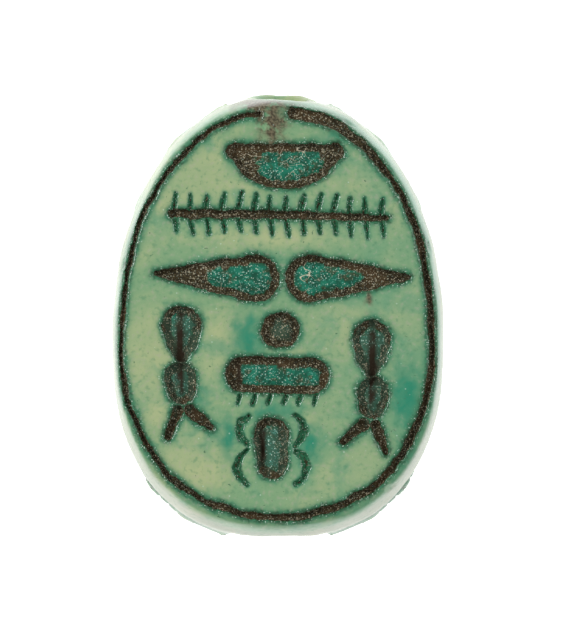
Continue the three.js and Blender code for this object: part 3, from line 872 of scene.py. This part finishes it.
# Dark green at the edges of the cuts, which also paints the shade under the plate's edge.
edge_amount = calculate(tree, "MULTIPLY_ADD", fuzz, 0.5, near)
edge_green = mix_colour(tree, step_between(tree, grit, 0.45, 0.62, 0.0, 0.6), EDGE_GREEN, HALO_GREEN)
colour = mix_colour(tree, step_between(tree, edge_amount, 0.36, 0.86, 0.0, 0.95), colour, edge_green)
tick = field_value(tree, "tick")
colour = mix_colour(tree, product(tree, tick, crumble), colour, HALO_GREEN)

streaks = noise_value(tree, place, 2.6, 5.0)
stain_edge = step_between(tree, streaks, 0.32, 0.48)
stain_amount = product(tree, field_value(tree, "stain"), stain_edge)
stain_colour = mix_colour(tree, step_between(tree, crumble, 0.4, 0.62), STAIN_DARK, STAIN_BROWN)
colour = mix_colour(tree, stain_amount, colour, stain_colour)
grime_amount = product(tree, field_value(tree, "grime"), step_between(tree, streaks, 0.25, 0.6))
colour = mix_colour(tree, grime_amount, colour, DIRT_LIGHT)

dirt_colour = mix_colour(tree, step_between(tree, crumble, 0.4, 0.7), DIRT_DARK, DIRT_LIGHT)
rust = step_between(tree, noise_value(tree, place, 1.1, 3.0), 0.48, 0.66, 0.0, 0.6)
dirt_colour = mix_colour(tree, rust, dirt_colour, DIRT_RUST)
dull = field_value(tree, "dull")
dirt_colour = mix_colour(tree, product(tree, dull, 0.45), dirt_colour, FLOOR_DULL)
colour = mix_colour(tree, dirt, colour, dirt_colour)
floor_colour = mix_colour(tree, step_between(tree, streaks, 0.4, 0.62), FLOOR_DARK, FLOOR_TEAL)
floor_colour = mix_colour(tree, dull, floor_colour, FLOOR_DULL)
colour = mix_colour(tree, floor, colour, floor_colour)
# Smooth dark brown is painted in the listed channels of the broad strokes.
colour = mix_colour(tree, dark_channel, colour, CHANNEL_DARK_BROWN)

# Specks of grit in the dirt and on the floors are painted as tan and teal glints, and pale glints are painted
# beside the cuts and over the face.
coarse_glints = scattered_glint_dots(tree, place, scale=11.0, rarest=0.78, size=0.46)
fine_glints = scattered_glint_dots(tree, place, scale=19.0, rarest=0.7, size=0.5)
glinting_grains = calculate(tree, "MAXIMUM", coarse_glints, fine_glints)
off_dark_channel = calculate(tree, "SUBTRACT", 1.0, dark_channel)
colour = mix_colour(tree, product(tree, dirt, glinting_grains, off_dark_channel, 0.68), colour, TAN_GLINT)
colour = mix_colour(tree, product(tree, floor, glinting_grains, off_dark_channel, 0.6), colour, TEAL_GLINT)
edge_glints = scattered_glint_dots(tree, place, scale=17.0, rarest=0.7, size=0.42)
beside_cuts = step_between(tree, near, 0.3, 0.85, 0.0, 0.9)
edge_glints = product(tree, edge_glints, beside_cuts, step_between(tree, dirt, 0.0, 0.8, 1.0, 0.25))
face_glints = product(tree, scattered_glint_dots(tree, place, scale=6.0, rarest=0.9, size=0.22), 0.4)
pale_glint_amount = calculate(tree, "MAXIMUM", edge_glints, face_glints)
colour = mix_colour(tree, product(tree, pale_glint_amount, off_dark_channel), colour, PALE_GLINT)

curls = calculate(tree, "SUBTRACT", noise_value(tree, place, 1.3, 0.0, 1.5), 0.5)
lint_amount = step_between(tree, calculate(tree, "ABSOLUTE", curls), 0.003, 0.0105, 1.0, 0.0)
lint_places = step_between(tree, noise_value(tree, place, 1.0, 1.0), 0.44, 0.48)
lint_places = product(tree, lint_places, field_value(tree, "lint"))
in_cut = calculate(tree, "MAXIMUM", calculate(tree, "MAXIMUM", dirt, floor), tick)
lint_amount = product(tree, lint_amount, lint_places, in_cut, 0.92)
colour = mix_colour(tree, lint_amount, colour, LINT_PALE)
tree.links.new(colour, shader.inputs["Base Color"])

tree.links.new(step_between(tree, in_cut, 0.0, 1.0, 0.36, 0.8), shader.inputs["Roughness"])
tree.links.new(step_between(tree, in_cut, 0.0, 0.5, 0.75, 0.0), shader.inputs["Coat Weight"])
shader.inputs["Specular IOR Level"].default_value = 0.22
shader.inputs["Coat Roughness"].default_value = 0.14
pitting = noise_value(tree, place, 2.5, 5.0)
loose = calculate(tree, "MAXIMUM", in_cut, step_between(tree, near, 0.3, 0.9, 0.0, 0.8))
height = product(tree, crumble, step_between(tree, loose, 0.0, 1.0, 0.1, 1.0))
height = calculate(tree, "MULTIPLY_ADD", pitting, 0.4, height)
height = calculate(tree, "MULTIPLY_ADD", product(tree, glinting_grains, in_cut), 0.5, height)
bumps = {"Height": height, "Strength": 0.5, "Distance": GRAIN_RELIEF}
relief = add_node(tree, "ShaderNodeBump", bumps)
tree.links.new(relief.outputs["Normal"], shader.inputs["Normal"])

scarab.data.materials.append(glaze)
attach(scarab, "root")
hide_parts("scarab")


# The studio is a bright white table under a white sky, with a soft lamp from the left and a
# weaker one from the right. The camera looks straight down from far above.
FRAME_WIDTH_PX = 563
FRAME_HEIGHT_PX = 625
MM_PER_PX = 0.03786
OBJECT_CENTRE_PX = (278.0, 315.5)
CAMERA_HEIGHT = 0.35
SENSOR_WIDTH = 36.0
TABLE_HALF = 0.4
TABLE_GLOW = 0.7
SKY_STRENGTH = 0.47

table_mesh = bmesh.new()
bmesh.ops.create_grid(table_mesh, x_segments=2, y_segments=2, size=TABLE_HALF)
table = object_of("table", table_mesh)
table_white = bpy.data.materials.new("table_white")
table_white.use_nodes = True
white = table_white.node_tree.nodes["Principled BSDF"]
white.inputs["Base Color"].default_value = (0.9, 0.9, 0.9, 1)
white.inputs["Roughness"].default_value = 0.8
white.inputs["Emission Color"].default_value = (1, 1, 1, 1)
white.inputs["Emission Strength"].default_value = TABLE_GLOW
table.data.materials.append(table_white)

sky = bpy.data.worlds.new("studio_white")
sky.use_nodes = True
background = sky.node_tree.nodes["Background"]
background.inputs["Color"].default_value = (1, 1, 1, 1)
background.inputs["Strength"].default_value = SKY_STRENGTH
bpy.context.scene.world = sky


def soft_lamp(name, place, size, watts):
    """A square lamp that points at the amulet."""
    lamp = bpy.data.lights.new(name, "AREA")
    lamp.size = size
    lamp.energy = watts
    holder = bpy.data.objects.new(name, lamp)
    holder.location = place
    holder.rotation_euler = (-Vector(place)).to_track_quat("-Z", "Y").to_euler()
    bpy.context.scene.collection.objects.link(holder)


soft_lamp("left_lamp", place=(-0.28, 0.1, 0.26), size=0.12, watts=0.74)
soft_lamp("right_fill", place=(0.3, 0.12, 0.3), size=0.25, watts=0.48)

camera_data = bpy.data.cameras.new("camera")
camera_data.sensor_fit = "HORIZONTAL"
camera_data.sensor_width = SENSOR_WIDTH
seen_width = FRAME_WIDTH_PX * MM_PER_PX / 1000
camera_data.lens = SENSOR_WIDTH * (CAMERA_HEIGHT - HEIGHT / 1000) / seen_width
camera_data.clip_start = 0.01
camera_data.clip_end = 5.0
camera = bpy.data.objects.new("camera", camera_data)
aim_x = (FRAME_WIDTH_PX / 2 - OBJECT_CENTRE_PX[0]) * MM_PER_PX / 1000
aim_y = (OBJECT_CENTRE_PX[1] - FRAME_HEIGHT_PX / 2) * MM_PER_PX / 1000
camera.location = (aim_x, aim_y, CAMERA_HEIGHT)
bpy.context.scene.collection.objects.link(camera)
bpy.context.scene.camera = camera
bpy.context.scene.view_settings.view_transform = "Standard"
